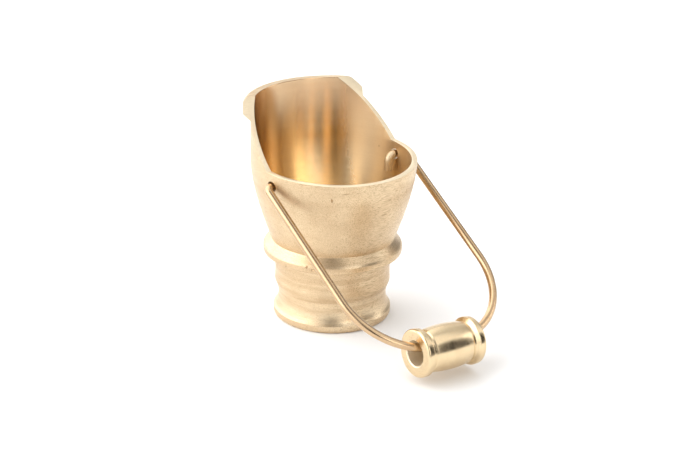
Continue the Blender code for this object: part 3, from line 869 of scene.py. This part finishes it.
def gripCorners():
    g = grip
    half = g["length"] / 2
    grooveTop = half - g["beadWidth"]
    barrelTop = grooveTop - g["grooveWidth"]
    mouth = g["bore"] + g["boreChamfer"]
    rise, beadRound = g["beadFoot"]
    high, low = g["grooveEdges"]
    upper = [(mouth, half, g["boreRound"]), (g["beadRadius"], half, g["edgeRound"]),
             (g["beadRadius"], grooveTop + rise, beadRound),
             (g["grooveRadius"], grooveTop - high, g["grooveRound"]),
             (g["grooveRadius"], barrelTop + low, g["grooveRound"]),
             (g["barrelEnd"], barrelTop, g["barrelRound"])]
    barrel = circleThrough((g["barrelEnd"], barrelTop), (g["barrelMid"], 0.0),
                           (g["barrelEnd"], -barrelTop), 20)
    lower = [(r, -z, f) for r, z, f in reversed(upper)]
    bore = [(g["bore"], -half + g["boreChamfer"], g["boreRound"]), (g["bore"], -g["boreRow"], 0),
            (g["bore"], g["boreRow"], 0), (g["bore"], half - g["boreChamfer"], g["boreRound"])]
    ring = upper + [(r, z, 0) for r, z in barrel[1:-1]] + lower + bore
    seam = [(mouth + g["seam"], half, 0)]
    return seam + ring[1:] + [ring[0]] + seam


def paintGrip(obj):
    # slot 0 outside, 1 the drilled bore with its chamfers, painted pale for the light that falls
    # into it
    justInside = 0.97
    obj.data.materials.clear()
    for key in ("grip", "gripBore"):
        obj.data.materials.append(finishes[key])
    for face in obj.data.polygons:
        centre = face.center / mm
        reach = math.hypot(centre.x, centre.y)
        face.material_index = int(reach < grip["bore"] + grip["boreChamfer"] * justInside)


def makeGrip():
    outline = outlineObject("gripSpoolFine", filletOutline(gripCorners(), 10))
    obj = runTree(outline, latheTurn, Segments=grip["segments"], Finish=finishes["grip"])
    paintGrip(obj)
    obj.data.transform(gripPlace)
    outwardNormals(obj)
    softenEdges(obj, 35)
    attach(obj, "grip")
    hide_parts("grip_spool")
    return obj


# The studio: camera, floor and light.

view = {"elevation": 22.287, "azimuth": -40.709, "roll": 1.096, "lens": 82.286,
        "aim": (-3.754, 15.508, 330.71)}


def makeCamera():
    az, el, roll = (math.radians(view[k]) for k in ("azimuth", "elevation", "roll"))
    right = Vector((math.cos(az), math.sin(az), 0))
    forward = Vector((-math.sin(az) * math.cos(el), math.cos(az) * math.cos(el), -math.sin(el)))
    down = -right.cross(forward)
    across = math.cos(roll) * right - math.sin(roll) * down
    below = math.sin(roll) * right + math.cos(roll) * down
    x, y, z = view["aim"]
    place = -(x * across + y * below + z * forward) * mm
    data = bpy.data.cameras.new("studioCamera")
    data.lens = view["lens"]
    data.sensor_width = 36.0
    data.clip_start = 0.01
    data.clip_end = 20.0
    camera = newObject("studioCamera", data)
    turn = Matrix((across, -below, -forward)).transposed().to_4x4()
    camera.matrix_world = Matrix.Translation(place) @ turn
    bpy.context.scene.camera = camera
    return camera


studio = {
    "floorColour": (0.95, 0.95, 0.95, 1), "floorSize": 3.0,
    "level": 0.92,                     # the white tent all round
    "overhead": 0.70, "ceiling": (0.42, 0.88),
    # soft lamps: azimuth, height, cosine where the light starts, cosine where it is full, gain
    "lamps": [(118, 36, 0.36, 0.93, 1.85), (-66, 62, 0.80, 0.97, 0.60),
              (-92, 22, 0.935, 0.985, 1.9), (-24, 20, 0.93, 0.985, 1.5),
              (-172, 20, 0.91, 0.985, 1.0), (156, 34, 0.90, 0.985, 0.9)],
    # darker parts of the room: azimuth, height, cosines, share of light left
    "room": [(-60, 16, 0.865, 0.95, 0.05), (6, 14, 0.90, 0.97, 0.25),
             (-108, 8, 0.96, 0.99, 0.80)],
    # the opening that the camera looks in through, lighter between two heights
    "gapEdges": (0.06, 0.36), "gapLevel": 0.02, "gapLow": (0.36, 0.54), "gapHigh": (0.76, 0.90),
    "gapBetween": 0.55, "gapFront": (-0.05, 0.25),
}


def makeFloor():
    mesh = bpy.data.meshes.new("studioFloor")
    s = studio["floorSize"]
    mesh.from_pydata([(-s, -s, 0), (s, -s, 0), (s, s, 0), (-s, s, 0)], [], [(0, 1, 2, 3)])
    floor = newObject("studioFloor", mesh)
    material = bpy.data.materials.new("paleTable")
    material.use_nodes = True
    shader = material.node_tree.nodes["Principled BSDF"]
    shader.inputs["Base Color"].default_value = studio["floorColour"]
    shader.inputs["Roughness"].default_value = 0.9
    shader.inputs["Specular IOR Level"].default_value = 0.0
    mesh.materials.append(material)
    return floor


def aimedVector(azimuth, height):
    a, h = math.radians(azimuth), math.radians(height)
    return Vector((math.cos(a) * math.cos(h), math.sin(a) * math.cos(h), math.sin(h)))


def dotNode(tree, vector, direction):
    node = addNode(tree, "ShaderNodeVectorMath", operation="DOT_PRODUCT")
    tree.links.new(vector, node.inputs[0])
    node.inputs[1].default_value = direction
    return node.outputs["Value"]


def makeWorld():
    # a white tent with soft lamps, darker parts of the room and a dark opening for the camera
    world = bpy.data.worlds.new("studioTent")
    bpy.context.scene.world = world
    world.use_nodes = True
    tree = world.node_tree
    background = tree.nodes["Background"]
    way = addNode(tree, "ShaderNodeTexCoord", -900, 0).outputs["Generated"]
    s = studio
    azimuth = math.radians(view["azimuth"])
    right = Vector((math.cos(azimuth), math.sin(azimuth), 0))
    towards = Vector((math.sin(azimuth), -math.cos(azimuth), 0))
    height = dotNode(tree, way, Vector((0, 0, 1)))
    tent = rangeNode(tree, height, *s["ceiling"], s["level"], s["overhead"])
    aside = mathNode(tree, "ABSOLUTE", dotNode(tree, way, right))
    beside = rangeNode(tree, aside, *s["gapEdges"], 1.0, 0.0)
    before = rangeNode(tree, dotNode(tree, way, towards), *s["gapFront"], 0.0, 1.0)
    low = rangeNode(tree, height, *s["gapLow"], 1.0, s["gapBetween"])
    high = rangeNode(tree, height, *s["gapHigh"], 0.0, 1.0)
    between = mathNode(tree, "MAXIMUM", low, high)
    gap = mathNode(tree, "MULTIPLY", mathNode(tree, "MULTIPLY", beside, before),
                   mathNode(tree, "MULTIPLY", between, 1.0 - s["gapLevel"]))
    lit = tent
    for azimuth, rise, start, full, gain in s["lamps"]:
        facing = dotNode(tree, way, aimedVector(azimuth, rise))
        lit = mathNode(tree, "ADD", lit, rangeNode(tree, facing, start, full, 0.0, gain))
    for azimuth, rise, start, full, share in s["room"]:
        facing = dotNode(tree, way, aimedVector(azimuth, rise))
        lit = mathNode(tree, "MULTIPLY", lit, rangeNode(tree, facing, start, full, 1.0, share))
    lit = mathNode(tree, "MULTIPLY", lit, mathNode(tree, "SUBTRACT", 1.0, gap))
    tree.links.new(lit, background.inputs["Strength"])
    background.inputs["Color"].default_value = (1, 1, 1, 1)
    return world


makeCamera()
makeFloor()
makeWorld()
bpy.context.scene.view_settings.view_transform = "Standard"
print("camera, floor and light ready")
makeBody()
print("body turned, cut and painted")
makeBail()
print("bail bent")
makeGrip()
print("grip turned")
